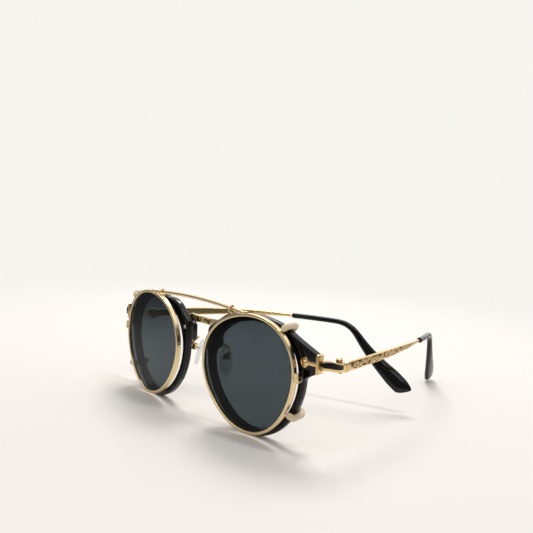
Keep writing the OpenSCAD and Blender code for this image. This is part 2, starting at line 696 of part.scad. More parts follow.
left_rim();
right_rim();
bridge();
bridge_rivets();
left_clear_lens();
right_clear_lens();
left_pad_arm();
right_pad_arm();
left_pad();
right_pad();
left_pad_box();
right_pad_box();
left_end_cap();
right_end_cap();
end_cap_rivets();
left_hinge_arm();
right_hinge_arm();
left_arm_inlay();
right_arm_inlay();
left_hinge_screw();
right_hinge_screw();
left_temple();
right_temple();
left_temple_tip();
right_temple_tip();
left_eyewire();
right_eyewire();
left_sun_lens();
right_sun_lens();
brow_bar();
left_bar_loop();
right_bar_loop();
left_closing_block();
right_closing_block();
closing_screws();
left_upper_prong();
left_lower_prong();
right_upper_prong();
right_lower_prong();
left_upper_sleeve();
left_lower_sleeve();
right_upper_sleeve();
right_lower_sleeve();
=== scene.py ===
"""Round acetate spectacles with engraved metal temples and a hook-on sun clip, on a pale table.

Sizes are in millimetres in the CAD part's frame and become metres when a mesh is made.
"""

import math

import bmesh
import bpy
import numpy as np
from mathutils import Matrix, Vector


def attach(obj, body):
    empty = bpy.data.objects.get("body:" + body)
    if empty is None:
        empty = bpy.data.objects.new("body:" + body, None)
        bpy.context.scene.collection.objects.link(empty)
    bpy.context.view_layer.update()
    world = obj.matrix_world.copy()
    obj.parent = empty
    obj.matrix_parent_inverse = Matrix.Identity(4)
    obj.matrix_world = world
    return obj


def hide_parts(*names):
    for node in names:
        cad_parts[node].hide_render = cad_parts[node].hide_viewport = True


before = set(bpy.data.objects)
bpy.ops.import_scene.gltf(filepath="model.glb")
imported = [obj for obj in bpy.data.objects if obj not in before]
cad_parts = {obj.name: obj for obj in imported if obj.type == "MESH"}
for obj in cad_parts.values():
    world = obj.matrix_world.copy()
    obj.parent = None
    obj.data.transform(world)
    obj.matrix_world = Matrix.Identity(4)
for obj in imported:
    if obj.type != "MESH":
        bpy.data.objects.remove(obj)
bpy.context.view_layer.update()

MM = 0.001
SIDES = ((1, "left"), (-1, "right"))

# Driving sizes, the same as in the part's source
LENS_D = 48.0
LENS_X = 34.3
OVAL = 0.012
PANTO = 0.035
PANTO_TURN = 31.0
WRAP = 6.85
LEAN = 0.9
FRONT_T = 3.6
RIM_OUT = 1.7
RIM_IN = 1.1
RIM_ROUND = 1.1
FRONT_DROP = 1.2
END_REACH = 32.4
END_H = 7.6
END_Z = 10.3
FLARE_REACH = 26.9
TEMPORAL_GROW = 1.4
CLEAR_T = 1.2
SUN_T = 0.9
LENS_SEAT = 0.45
BRIDGE_H = 3.6
BRIDGE_T = 1.5
BRIDGE_UP = 16.8
ARM_WIRE_D = 1.0
PAD_H = 13.5
PAD_W = 6.0
PAD_T = 2.4
HINGE_X = 64.8
HINGE_Y = 23.2
HINGE_UP = 7.6
HINGE_OUT = 7.4
HINGE_FORWARD = 1.9
ARM_T = 2.0
TEMPLE_LEN = 96.5
TEMPLE_H = 4.0
TEMPLE_T = 1.6
ENGRAVED_LEN = 60.0
WIRE_D = 1.1
TIP_START = 76.0
TIP_D = 2.7
TIP_DROP = 50.0
PADDLE_W = 8.2
PADDLE_T = 3.3
PADDLE_TURN = 25.0
FOLD = {1: 0.0, -1: 49.0}
WIRE_W = 1.3
WIRE_DEPTH = 2.2
CLIP_GAP = 4.4
BAR_D = 1.6
BAR_HALF = 32.6
BAR_RISE = 1.8
PRONG_D = 1.0
SLEEVE_D = 2.5
UPPER_PRONG = 51.0
LOWER_PRONG = -31.0
RIGHT_PRONG_TURN = 6.0
ORIGIN_BACK = 77.4
SEAT_GAP = 0.05
SOFT_GAP = 0.2


# Curves and outlines
def radians(a):
    return np.radians(np.asarray(a, float))


def clamp(x):
    return min(1.0, max(0.0, x))


def ease(t):
    c = np.clip(t, 0.0, 1.0)
    return c * c * (3.0 - 2.0 * c)


def unit(v):
    v = np.asarray(v, float)
    return v / np.linalg.norm(v, axis=-1, keepdims=True)


def soft_max(v, k):
    """The largest of several values, with the change between them rounded; a high k rounds less."""
    v = np.array(v)
    m = v.max(0)
    return m + np.log(np.exp(k * (v - m)).sum(0)) / k


def soft_min(v, k):
    return -soft_max([-x for x in v], k)


def lens_r(a):
    """Distance from a lens centre to its outline; 0 degrees is temporal and 90 is up."""
    oval = OVAL * np.cos(radians(2 * np.asarray(a, float)))
    panto = PANTO * np.sin(radians(3 * np.asarray(a, float) - PANTO_TURN))
    return LENS_D / 2 * (1 - oval + panto)


def front_r(a):
    """Outline of the acetate's lens openings, in the same directions."""
    return lens_r(a) + TEMPORAL_GROW * np.maximum(0, np.cos(radians(a))) ** 3


FAR = 60.0
LEAST_SLANT = 0.05


def edge_r(p, q, a):
    """Distance from the lens centre, in direction a, to the straight edge from p to q.

    It is FAR for directions that point away from the edge or run nearly along it.
    """
    n = np.array([p[1] - q[1], q[0] - p[0]])
    n = n / np.hypot(*n)
    slant = n[0] * np.cos(radians(a)) + n[1] * np.sin(radians(a))
    return np.where(slant > LEAST_SLANT, (n @ np.array(p)) / np.maximum(slant, LEAST_SLANT), FAR)


END_TOP = (END_REACH, END_Z + END_H / 2)
END_LOW = (END_REACH, END_Z - END_H / 2)
END_RISE = 0.47
END_FALL = 0.55
END_TO, END_OVER = 72, 20
FLARE_TOP = (-FLARE_REACH, 15.4)
FLARE_LOW = (-FLARE_REACH, 7.0)
FLARE_RISE = 0.715
FLARE_FALL = 2.6
FLARE_FROM, FLARE_TO, FLARE_OVER = 104, 215, 26


def rim_r(a):
    """A rim's outer edge: the lens outline with the end piece and the nasal flare blended in."""
    a = np.asarray(a, float)
    r = front_r(a) + RIM_OUT
    end = soft_min([
        edge_r((END_REACH - 1, END_TOP[1] + END_RISE), END_TOP, a),
        edge_r(END_TOP, END_LOW, a),
        edge_r(END_LOW, (END_REACH - 1, END_LOW[1] - END_FALL), a),
    ], 4)
    flare = soft_min([
        edge_r((1 - FLARE_REACH, FLARE_LOW[1] - FLARE_FALL), FLARE_LOW, a),
        edge_r(FLARE_LOW, FLARE_TOP, a),
        edge_r(FLARE_TOP, (1 - FLARE_REACH, FLARE_TOP[1] + FLARE_RISE), a),
    ], 2)

    def blended(form, weight):
        return r + (soft_max([r, np.minimum(form, FAR)], 1) - r) * weight

    with_end = blended(end, ease((END_TO - a) / END_OVER))
    with_flare = blended(flare, ease((a - FLARE_FROM) / FLARE_OVER))
    return np.where(a < END_TO, with_end, np.where((a > FLARE_FROM) & (a < FLARE_TO), with_flare, r))


def rim_low():
    """Lowest point of a rim below its lens centre at the clip."""
    under = np.arange(-100, -79)
    cos, sin = math.cos(math.radians(LEAN)), math.sin(math.radians(LEAN))
    out, up = rim_r(under), np.sin(radians(under))
    return min(((out * up - FRONT_DROP) * cos + (RIM_ROUND + CLIP_GAP) * sin).min(),
               (((out - RIM_ROUND) * up - FRONT_DROP) * cos + CLIP_GAP * sin).min())


CLIP_Z = -rim_low()
FRAME_Z = CLIP_Z - FRONT_DROP
HINGE_Z = FRAME_Z + HINGE_UP


def oval_section(w, h, n, power=2.0):
    """An oval of n points, w across and h high; a higher power makes it squarer."""
    a = 2 * math.pi * (np.arange(n) + 0.5) / n
    c, s = np.cos(a), np.sin(a)
    return np.stack([w / 2 * np.sign(c) * abs(c) ** (2 / power),
                     h / 2 * np.sign(s) * abs(s) ** (2 / power)], -1)


def curve(points, n):
    """A smooth curve through the points, with n steps between two of them."""
    p = np.asarray(points, float)
    out = []
    for i in range(len(p) - 1):
        a, b, c, d = p[max(i - 1, 0)], p[i], p[i + 1], p[min(i + 2, len(p) - 1)]
        for t in np.arange(n) / n:
            out.append(b + (c - a) * t / 2 + (2 * a - 5 * b + 4 * c - d) * t * t / 2
                       + (3 * b - 3 * c + d - a) * t ** 3 / 2)
    return np.array(out + [p[-1]])


def arc(cx, cy, r, start, stop, n):
    """Points of an arc in a profile, from start to stop degrees."""
    a = np.radians(np.linspace(start, stop, n))
    return [(cx + r * math.cos(t), cy + r * math.sin(t)) for t in a]


def stadium(x, y, r, half):
    """An upright outline with round ends, whose centres are half above and half below (x, y)."""
    return arc(x, y + half, r, 0, 180, 14) + arc(x, y - half, r, 180, 360, 14)


def inset(outline, d):
    """A closed outline, run anticlockwise, moved inwards by d."""
    p = np.asarray(outline, float)
    before, after = unit(p - np.roll(p, 1, 0)), unit(np.roll(p, -1, 0) - p)
    inwards = np.stack([-before[:, 1] - after[:, 1], before[:, 0] + after[:, 0]], -1)
    return p + d * inwards / (1 + (before * after).sum(-1, keepdims=True))


# Places: clip_pt and front_pt turn points of a rim's own directions into the left side's
def clip_pt(p):
    p = np.asarray(p, float)
    lean, wrap = math.radians(90 + LEAN), math.radians(WRAP)
    y = p[..., 1] * math.cos(lean) - p[..., 2] * math.sin(lean)
    z = p[..., 1] * math.sin(lean) + p[..., 2] * math.cos(lean)
    return np.stack([LENS_X + p[..., 0] * math.cos(wrap) - y * math.sin(wrap),
                     p[..., 0] * math.sin(wrap) + y * math.cos(wrap), CLIP_Z + z], -1)


def front_pt(p):
    return clip_pt(np.asarray(p, float) + [0, -FRONT_DROP, -CLIP_GAP])


def polar(a, r, z):
    """Points at directions a, distances r and heights z."""
    a, r, z = np.broadcast_arrays(radians(a), r, z)
    return np.stack([r * np.cos(a), r * np.sin(a), z], -1)


def on_side(points, s):
    """Points of the left side moved to the part's origin, and mirrored for the right side."""
    return (np.asarray(points, float) - [0, ORIGIN_BACK, 0]) * [s, 1, 1]


# Meshes
def shade(obj, smooth):
    """Smooth shading, with edges of more than smooth degrees kept sharp."""
    data = obj.data
    data.polygons.foreach_set("use_smooth", [True] * len(data.polygons))
    data.set_sharp_from_angle(angle=math.radians(smooth))


def loft(name, rings, mat, body, nodes=(), smooth=40.0, loop=False):
    """A mesh piece through rings of points, in place of the CAD nodes; an open one gets end faces."""
    rings = np.asarray(rings, float)
    n, m = rings.shape[:2]
    faces = []
    for i in range(n if loop else n - 1):
        a, b = i * m, (i + 1) % n * m
        for j in range(m):
            k = (j + 1) % m
            faces.append((a + j, a + k, b + k, b + j))
    if not loop:
        faces.append(tuple(reversed(range(m))))
        faces.append(tuple(range((n - 1) * m, n * m)))
    data = bpy.data.meshes.new(name)
    data.from_pydata((rings.reshape(-1, 3) * MM).tolist(), [], faces)
    data.validate()
    solid = bmesh.new()
    solid.from_mesh(data)
    bmesh.ops.recalc_face_normals(solid, faces=solid.faces)
    solid.to_mesh(data)
    solid.free()
    obj = bpy.data.objects.new(name, data)
    bpy.context.scene.collection.objects.link(obj)
    shade(obj, smooth)
    data.materials.append(mat)
    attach(obj, body)
    if nodes:
        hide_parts(*nodes)
    return obj


def path_rings(path, sections, up=(0, 0, 1)):
    """Rings of the (across, high) sections along a path, kept upright along up."""
    path = np.asarray(path, float)
    t = unit(np.concatenate([[path[1] - path[0]], path[2:] - path[:-2], [path[-1] - path[-2]]]))
    across = unit(np.cross(up, t))
    high = np.cross(t, across)
    s = np.asarray(sections, float)
    return path[:, None] + s[..., :1] * across[:, None] + s[..., 1:] * high[:, None]


def run_along(path):
    """Distance along a path at each of its points."""
    return np.concatenate([[0], np.cumsum(np.linalg.norm(np.diff(path, axis=0), axis=1))])


def densify_ends(path, d, n=6):
    """Adds stations near both ends, so that round_ends has points to round."""
    run = run_along(path)
    extra = d / 2 * (1 - np.cos(np.linspace(0, math.pi / 2, n)))
    at = np.unique(np.concatenate([extra, run[(run > d / 2) & (run < run[-1] - d / 2)], run[-1] - extra]))
    return np.stack([np.interp(at, run, path[:, k]) for k in range(3)], -1)


def round_ends(path, d):
    """Shares of the diameter that round both ends of a tube off."""
    run = run_along(path)
    near = np.minimum(run, run[-1] - run) / (d / 2)
    return np.sqrt(np.clip(1 - (1 - np.clip(near, 0, 1)) ** 2, 0.04, 1))


def tube(name, path, d, up, s, mat, body, nodes, sides=20, rounded=False):
    """A tube along a path, with round or flat ends."""
    shares = np.ones(len(path))
    if rounded:
        path = densify_ends(path, d)
        shares = round_ends(path, d)
    rings = path_rings(path, [oval_section(d * f, d * f, sides) for f in shares], up)
    loft(name, on_side(rings, s), mat, body, nodes)


def plate(name, outline, low, high, edge, place, s, mat, body, nodes=()):
    """A flat piece of the outline's shape, from low to high, with rounded edges."""
    turns = np.linspace(0, math.pi / 2, 4)
    levels = [(edge * (1 - math.sin(t)), low + edge * (1 - math.cos(t))) for t in turns]
    levels += [(d, low + high - z) for d, z in reversed(levels)]
    rings = np.array([np.column_stack([inset(outline, d), np.full(len(outline), z)]) for d, z in levels])
    loft(name, on_side(place(rings), s), mat, body, nodes, smooth=50)


# Materials
def material(name, color, metallic=0.0, rough=0.3, alpha=1.0, **more):
    """A material of one Principled shader; more names other inputs, with _ in place of spaces."""
    m = bpy.data.materials.new(name)
    m.use_nodes = True
    shader = m.node_tree.nodes["Principled BSDF"]
    shader.inputs["Base Color"].default_value = (*color, 1.0)
    shader.inputs["Metallic"].default_value = metallic
    shader.inputs["Roughness"].default_value = rough
    shader.inputs["Alpha"].default_value = alpha
    for key, value in more.items():
        shader.inputs[key.replace("_", " ")].default_value = value
    return m


def add_node(tree, kind, inputs=(), **settings):
    """A new shader node. An input gets a value, or a link where the value is a node's output."""
    node = tree.nodes.new(kind)
    for key, value in settings.items():
        setattr(node, key, value)
    for key, value in dict(inputs).items():
        if isinstance(value, bpy.types.NodeSocket):
            tree.links.new(value, node.inputs[key])
        else:
            node.inputs[key].default_value = value
    return node


def step(tree, source, low, high):
    """A value that grows smoothly from 0 where source is low to 1 where it is high."""
    return add_node(tree, "ShaderNodeMapRange", {"Value": source, "From Min": low, "From Max": high},
                    interpolation_type="SMOOTHSTEP").outputs["Result"]


def mixed(tree, factor, first, second):
    return add_node(tree, "ShaderNodeMixShader", {0: factor, 1: first, 2: second}).outputs["Shader"]


BUMP_HIGH = 0.05


def add_bump(m, scale, strength):
    """A fine noise bump on a material, in object space."""
    tree = m.node_tree
    coord = add_node(tree, "ShaderNodeTexCoord")
    noise = add_node(tree, "ShaderNodeTexNoise",
                     {"Vector": coord.outputs["Object"], "Scale": scale, "Detail": 2.0})
    bump = add_node(tree, "ShaderNodeBump",
                    {"Height": noise.outputs["Fac"], "Strength": strength, "Distance": BUMP_HIGH * MM})
    tree.links.new(bump.outputs["Normal"], tree.nodes["Principled BSDF"].inputs["Normal"])
    return m


GOLD_COLOR = (0.83, 0.60, 0.29)
PALE_COLOR = (0.84, 0.66, 0.38)
# Painted shade: the engraving is cut in the mesh, and its darkness is painted in this brown where the mesh
# stores a groove value
GROOVE_SHADE_COLOR = (0.15, 0.075, 0.022)
GROOVE_SHADE_FROM, GROOVE_SHADE_TO = 0.15, 0.75


def engraved(name, color, rough):
    """A metal darkened with painted shade where the mesh stores a groove value."""
    m = material(name, color, metallic=1.0, rough=rough)
    tree = m.node_tree
    groove = add_node(tree, "ShaderNodeAttribute", attribute_name="groove")
    shade_amount = add_node(tree, "ShaderNodeMapRange",
                     {"Value": groove.outputs["Fac"], "From Min": GROOVE_SHADE_FROM, "From Max": GROOVE_SHADE_TO})
    mix = add_node(tree, "ShaderNodeMix",
                   {"A": (*color, 1), "B": (*GROOVE_SHADE_COLOR, 1), "Factor": shade_amount.outputs["Result"]},
                   data_type="RGBA")
    tree.links.new(mix.outputs["Result"], tree.nodes["Principled BSDF"].inputs["Base Color"])
    return m


ACETATE = add_bump(material("acetate", (0.002, 0.002, 0.0025), rough=0.03, Specular_IOR_Level=0.36),
                   90, 0.04)
GOLD = add_bump(material("gold", GOLD_COLOR, metallic=1.0, rough=0.12), 1500, 0.05)
PALE_GOLD = add_bump(material("pale_gold", PALE_COLOR, metallic=1.0, rough=0.16), 1500, 0.05)
# Engraved metals, with painted shade in their cuts
ENGRAVED = engraved("engraved_gold", GOLD_COLOR, 0.2)
ENGRAVED_PALE = engraved("engraved_pale", PALE_COLOR, 0.15)
SILVER = material("silver", (0.75, 0.74, 0.72), metallic=1.0, rough=0.2)
# Black enamel of the hinge arms' inlay; also the painted reflection on the closing blocks
INLAY_AND_PAINTED_REFLECTION = material("inlay", (0.002, 0.002, 0.002), rough=0.04, Specular_IOR_Level=0.12)
SLEEVE = add_bump(material("sleeve", (0.70, 0.565, 0.385), rough=0.3), 800, 0.12)
PAD = material("nose_pad", (0.86, 0.89, 0.91), rough=0.1, alpha=0.3, IOR=1.42)
CLEAR = material("clear_lens", (0.9, 0.95, 0.96), rough=0.02, alpha=0.05)
SUN = material("sun_lens", (0.057, 0.077, 0.088), rough=0.0, Transmission_Weight=1.0, IOR=1.2)

# Acetate front
RIM_LIP = 0.5
GROOVE_CHAMFER = 0.1


def rim_profile(a):
    """Points round a rim's section at direction a: x is the distance from the lens centre."""
    out, inner, e, lip = float(rim_r(a)), float(front_r(a)) - RIM_IN, RIM_ROUND, RIM_LIP
    mid, half, groove = -FRONT_T / 2, CLEAR_T / 2, inner + LENS_SEAT
    return ([(inner, mid - half - GROOVE_CHAMFER), (groove, mid - half),
             (groove, mid + half), (inner, mid + half + GROOVE_CHAMFER)]
            + arc(inner + lip, -lip, lip, 180, 90, 6) + arc(out - e, -e, e, 90, 0, 8)
            + arc(out - e, e - FRONT_T, e, 0, -90, 8) + arc(inner + lip, lip - FRONT_T, lip, 270, 180, 6))


def make_rim(s, side):
    angles = np.arange(-36.0, 324.0, 1.5)
    rows = np.array([rim_profile(a) for a in angles])
    rings = front_pt(polar(angles[:, None], rows[..., 0], rows[..., 1]))
    loft(f"{side}_rim_fine", on_side(rings, s), ACETATE, "front", [f"{side}_rim"],
         smooth=35, loop=True)


LUG_AT = (2.9 - FLARE_REACH, 10.0)
LUG_W = 4.4
LUG_H = 9.0
LUG_DEEP = 2.6
LUG_EDGE = 0.6


def make_lug(s, side):
    """The raised seat on the back of a rim's nasal side, with rounded edges."""
    back = -FRONT_T - LUG_DEEP
    levels = [(0.0, -1.0), (0.0, back + LUG_EDGE)]
    levels += [(LUG_EDGE * (1 - math.cos(t)), back + LUG_EDGE * (1 - math.sin(t)))
               for t in np.linspace(0.2, math.pi / 2, 5)]
    rings = []
    for shrink, z in levels:
        outline = stadium(*LUG_AT, LUG_W / 2 - shrink, (LUG_H - LUG_W) / 2)
        rings.append([(x, y, z) for x, y in outline])
    loft(f"{side}_lug", on_side(front_pt(rings), s), ACETATE, "front", smooth=35)


LENS_PLAY = 0.1
LENS_ANGLES = np.arange(0.0, 360.0, 2.0)


def make_lens(s, side, kind, radius, t, z, bevel, place, mat, body):
    """A disc of the outline's shape with bevelled edges."""
    levels = [(-bevel, t / 2), (0.0, t / 2 - bevel), (0.0, bevel - t / 2), (-bevel, -t / 2)]
    rings = np.array([polar(LENS_ANGLES, radius + dr, z + dz) for dr, dz in levels])
    loft(f"{side}_{kind}_fine", on_side(place(rings), s), mat, body, [f"{side}_{kind}"], smooth=25)


for s, side in SIDES:
    make_rim(s, side)
    make_lug(s, side)
    make_lens(s, side, "clear_lens", front_r(LENS_ANGLES) - RIM_IN + LENS_SEAT - LENS_PLAY, CLEAR_T,
              -FRONT_T / 2, 0.2, front_pt, CLEAR, "front")
    make_lens(s, side, "sun_lens", lens_r(LENS_ANGLES) + LENS_SEAT - LENS_PLAY, SUN_T,
              -WIRE_DEPTH / 2, 0.15, clip_pt, SUN, "clip")

# Caps over the outer ends of the end pieces
CAP_WALL = 0.55
CAP_H = 8.2
CAP_REACH = END_REACH + 0.8
LIP_W = 1.5
LIP_EDGE = 0.55
STEM_H = 1.7
STEM_EDGE = 0.22
FAN_X = END_REACH - 5.6
FAN = ((0.4, 2.5), (-1.3, 1.5), (-2.2, 0.3), (-2, -0.6), (-1.4, -1.5), (0.1, -2.5), (1.4, -1), (1.8, -0.6),
       (1.8, 0.6), (1.4, 1))
FAN_PROUD = 0.05
FAN_EDGE = 0.2
CAP_LOW = -0.3


def make_cap(s, side):
    """A lip round the end, a stem and a fan on the front."""
    x = CAP_REACH - LIP_W / 2
    lip = stadium(x, END_Z, LIP_W / 2, (CAP_H - LIP_W) / 2)
    stem = [(u, END_Z + v * STEM_H / 2) for u, v in ((FAN_X, -1), (x, -1), (x, 1), (FAN_X, 1))]
    fan = [(FAN_X + u, END_Z + v) for u, v in FAN]
    plate(f"{side}_cap_lip", lip, -FRONT_T, CAP_WALL, LIP_EDGE, front_pt, s, GOLD, "front",
          [f"{side}_end_cap"])
    plate(f"{side}_cap_stem", stem, CAP_LOW, CAP_WALL, STEM_EDGE, front_pt, s, GOLD, "front")
    plate(f"{side}_cap_fan", fan, CAP_LOW, CAP_WALL + FAN_PROUD, FAN_EDGE, front_pt, s, GOLD,
          "front")


for s, side in SIDES:
    make_cap(s, side)

# Engraving, with the curl's reach and offset and the stem's wave as shares of the period
LINE_W = 0.2
CURL_REACH = 0.155
CURL_OFF = 0.04
STEM_WAVE = 0.115
LEAF_LOBES, LEAF_TWIST, LEAF_TURN = 3, 16, 1.9


def scroll(q, h, period=8.4):
    """Depth from 0 to 1 of the engraved leaf scrolls at distance q along a bar and height h."""
    n = math.floor(2 * q / period)
    x, flip = (2 * q / period - n - 0.5) * period / 2, 1 if n % 2 else -1
    y, reach = h - flip * CURL_OFF * period, CURL_REACH * period
    r, a = np.hypot(x, y), np.arctan2(y * flip, x)
    stem = np.exp(-((h - STEM_WAVE * period * np.sin(2 * math.pi * q / period)) / LINE_W) ** 2)
    spiral = (r / reach - a / (2 * math.pi)) % 1.0 - 0.5
    curl = np.exp(-(spiral * reach / LINE_W) ** 2) * (r < reach)
    wave = np.sin(LEAF_LOBES * a + LEAF_TWIST * r / period + LEAF_TURN * n)
    leaf = np.clip(2.2 * wave - 0.6, 0, 1) * (r >= reach)
    return np.maximum(np.maximum(stem, curl), leaf)


def add_groove_shade(obj, values):
    """Stores each point's share of painted shade in the engraving, for the material."""
    data = obj.data.attributes.new("groove", "FLOAT", "POINT")
    data.data.foreach_set("value", np.asarray(values, dtype=np.float32))


# Metal bridge
BRIDGE_END = 4.5 - FLARE_REACH
BRIDGE_SEAT = 2.0
BRIDGE_STEPS = 24
ARCH_FORWARD, ARCH_UP = 0.9, 0.4
BRIDGE_CARVED = 5.2
BRIDGE_PERIOD = 4.8
BRIDGE_RELIEF = 0.16
BRIDGE_BORDER, BRIDGE_FADE = 0.42, 0.06
STRIPE = 0.8
STRIPE_CUT = 0.25
STRIPES_FROM = 3


def bridge_share(e):
    """Share of the bridge's full height, e half spans of its path from an end: less there and midway."""
    return 0.6 + 0.25 * e if e < 1.6 else 1 - 0.16 * ease((e - 4) / 4)


def make_bridge():
    """The arched bar, striated at its sides and engraved in its middle, with painted shade in the
    engraving.
    """
    deep = -FRONT_T - BRIDGE_T / 2 - 2 * SEAT_GAP
    side = [front_pt((BRIDGE_END - k * BRIDGE_SEAT, BRIDGE_UP, deep)) for k in range(4)]
    middle = np.array([0, side[3][1] - ARCH_FORWARD, side[3][2] + ARCH_UP])
    path = curve([p * [-1, 1, 1] for p in side] + [middle] + side[::-1], BRIDGE_STEPS)
    rings, groove_shades = [], []
    for i, (x, _, _) in enumerate(path):
        e = 2 * min(i, len(path) - 1 - i) / BRIDGE_STEPS
        high = BRIDGE_H * bridge_share(e)
        sec = oval_section(BRIDGE_T, high, 56, 5)
        inside = np.clip((BRIDGE_BORDER - abs(sec[:, 1]) / high) / BRIDGE_FADE, 0, 1)
        carved = clamp((BRIDGE_CARVED - abs(x)) / 0.3)
        stripes = STRIPE_CUT * (0.5 + 0.5 * np.cos(2 * math.pi * sec[:, 1] / STRIPE)) * (e > STRIPES_FROM)
        cut = inside * (carved * scroll(x, sec[:, 1], BRIDGE_PERIOD) + (1 - carved) * stripes)
        sec[:, 0] -= np.sign(sec[:, 0]) * BRIDGE_RELIEF * cut
        rings.append(sec)
        groove_shades += list(carved * cut)
    bar = loft("bridge_fine", on_side(path_rings(path, rings), 1), ENGRAVED_PALE, "front",
               ["bridge"], smooth=60)
    add_groove_shade(bar, groove_shades)


make_bridge()

# Nose pads
PAD_TURN = 41.0
PAD_SPLAY = 13.0
PAD_PIN = np.array([11.2, 9.9, FRAME_Z + 1.9])
PAD_OFF = 2.35
PAD_LOW = 2.0
PAD_TAPER = 0.12
PAD_ROWS, PAD_SIDES = 28, 28
PAD_STEM = (1.8, 1.9)
PAD_BOX_BACK = 2.45


def pad_pt(p):
    turn = (Matrix.Rotation(math.radians(-PAD_TURN), 3, "Z")
            @ Matrix.Rotation(math.radians(-PAD_SPLAY), 3, "Y"))
    return np.asarray(p) @ np.array(turn).T + PAD_PIN


def make_pad(s, side):
    """A clear pad, thin at its edge, and the metal stem in it."""
    rings = []
    for i in range(PAD_ROWS + 1):
        t = -math.cos(math.pi * i / PAD_ROWS)
        f = math.sqrt(max(0.004, 1 - t * t))
        sec = oval_section(PAD_T * f ** 0.7, PAD_W * f * (1 - PAD_TAPER * t), PAD_SIDES)
        rings.append([(x - PAD_OFF, y, t * PAD_H / 2 - PAD_LOW) for x, y in sec])
    body = f"{side}_pad"
    loft(f"{side}_pad_fine", on_side(pad_pt(rings), s), PAD, body, [body])
    stem = [[(x, y, z) for y, z in oval_section(*PAD_STEM, 16, 4)] for x in (0.2 - PAD_OFF, 0.6)]
    loft(f"{side}_pad_stem", on_side(pad_pt(stem), s), SILVER, body)


def pad_arm_path():
    """The bent wire from a rim's raised seat to the box behind the pad."""
    seat = front_pt((LUG_AT[0], LUG_AT[1] - 2.5, -FRONT_T - LUG_DEEP - 3 * SEAT_GAP))
    turn = math.radians(PAD_TURN)
    box = PAD_PIN + PAD_BOX_BACK * np.array([math.cos(turn), -math.sin(turn), 0])
    return curve([seat, seat + [0.3, 2.2, -0.9], [box[0] - 1.2, seat[1] + 3.3, box[2] + 3.6],
                  box + [0.3, 1.1, 1.5], box], 8)


for s, side in SIDES:
    make_pad(s, side)
    tube(f"{side}_pad_arm_fine", pad_arm_path(), ARM_WIRE_D, (1, 0, 0), s, GOLD, "front",
         [f"{side}_pad_arm"])

# Temples
HINGE = np.array([HINGE_X, HINGE_Y, HINGE_Z])
AXIS_TURN = np.array(Matrix.Rotation(math.radians(HINGE_OUT), 3, "Y")
                     @ Matrix.Rotation(math.radians(HINGE_FORWARD), 3, "X"))
HINGE_AXIS = Vector(AXIS_TURN[:, 2])
ARM_X = 2.7
BUTT_GAP = 0.6
BOW = 2.14
TEMPLE_RISE = 0.055
TEMPLE_SAG = 0.62
BEND, BEND_OVER = 53.0, 16.0
FLICK, FLICK_FROM, FLICK_OVER = 12.0, 14.0, 24.0
CORE_LEN = 28.0
LEVEL_STEP = 0.25
BEND_STEP = 0.5
TAPER_FROM = 22.0
TAPER_POWER = 1.25
NECK_H = 1.4


def level_h(q):
    return TEMPLE_RISE * q - TEMPLE_SAG * q * q / 1000


def fall(run):
    """Slope in degrees of a temple, at a distance past the start of its bend."""
    start = math.degrees(math.atan(TEMPLE_RISE - 2 * TEMPLE_SAG * TEMPLE_LEN / 1000))
    return start - BEND * ease(run / BEND_OVER) + FLICK * ease((run - FLICK_FROM) / FLICK_OVER)


def temple_side():
    """Points of a temple's centre line as (distance back, height), and the run past the bend's start."""
    level = np.arange(0, TEMPLE_LEN, LEVEL_STEP)
    run = np.arange(0, TIP_DROP + LEVEL_STEP, BEND_STEP)
    a = radians(fall(run[:-1] + BEND_STEP / 2))
    bend = np.cumsum(BEND_STEP * np.stack([np.cos(a), np.sin(a)], -1), axis=0)
    start = [TEMPLE_LEN, level_h(TEMPLE_LEN)]
    points = np.concatenate([np.stack([level, level_h(level)], -1), [start], bend + start])
    return points, np.concatenate([level - TEMPLE_LEN, run])


def temple_pt(q, h):
    """Points of a temple's centre line relative to the hinge axis."""
    return np.stack([ARM_X - BOW * q * q / 1000, q + BUTT_GAP, h], -1)


SIDE_PTS, RUN = temple_side()


def at_hinge(points, s):
    """Points relative to a hinge axis, folded to the rest pose and put in place."""
    turn = np.array(Matrix.Rotation(math.radians(FOLD[s]), 3, HINGE_AXIS))
    return on_side(np.asarray(points) @ turn.T + HINGE, s)


def bar_size(q):
    """Thickness and height of a temple's bar at a distance back from its butt."""
    t = clamp((q - TAPER_FROM) / (TIP_START - TAPER_FROM)) ** TAPER_POWER
    return TEMPLE_T + (WIRE_D - TEMPLE_T) * t, TEMPLE_H + (NECK_H - TEMPLE_H) * t


RELIEF = 0.13
CARVED_FROM, CARVED_OVER = 2.5, 1.5
CARVED_H = 1.5
TEMPLE_BORDER, TEMPLE_FADE = 0.86, 0.12
FACE_ROWS = 34
FACE_SPREAD = math.pi / 2 * 0.98


